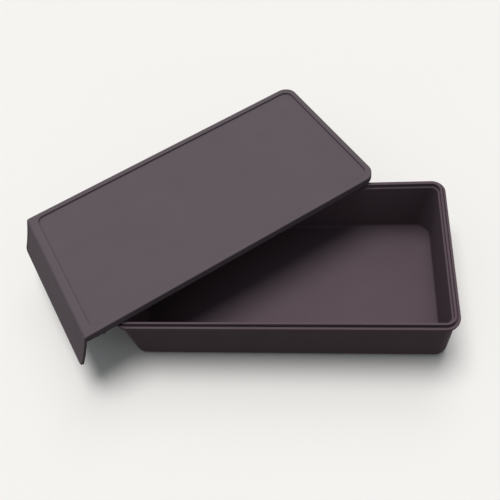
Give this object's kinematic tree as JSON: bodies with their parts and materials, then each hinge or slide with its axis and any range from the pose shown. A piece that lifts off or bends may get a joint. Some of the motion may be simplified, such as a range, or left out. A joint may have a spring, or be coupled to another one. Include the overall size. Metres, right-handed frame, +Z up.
{
  "type": "silicone freezer tray with lid",
  "caption": "Deep rectangular silicone tray with a beaded rim, and a flat lid with a sunk panel and a full-width pull flap, set down askew on the rim.",
  "frame": {"origin": "middle of the tray's flat underside, on the surface it stands on", "axes": "+X along the tray, away from the lid's flap; +Y to the tray's back; +Z up"},
  "size_m": [0.3923, 0.289, 0.0686],
  "materials": {
    "tray_silicone": "matte moulded silicone",
    "lid_silicone": "matte moulded silicone",
    "rim_wire_steel": "drawn stainless wire",
    "stiffener_plastic": "natural polypropylene sheet"
  },
  "bodies": {
    "tray": {"tray_body": "tray_silicone", "rim_wire": "rim_wire_steel"},
    "lid": {"lid_cover": "lid_silicone", "lid_stiffener": "stiffener_plastic"},
    "flap": {"lid_pull_flap": "lid_silicone"}
  },
  "joints": [
    {"name": "lid_lift", "type": "slide", "parent": "tray", "child": "lid", "axis": [0, 0, 1], "range_m": [0, 0.12]},
    {"name": "flap_bend", "type": "hinge", "parent": "lid", "child": "flap", "pos_m": [-0.19681, -0.02556, 0.06379], "axis": [-0.5668, 0.8236, -0.0213], "range_deg": [-20, 90], "stiffness_Nm_per_rad": 0.25}
  ]
}
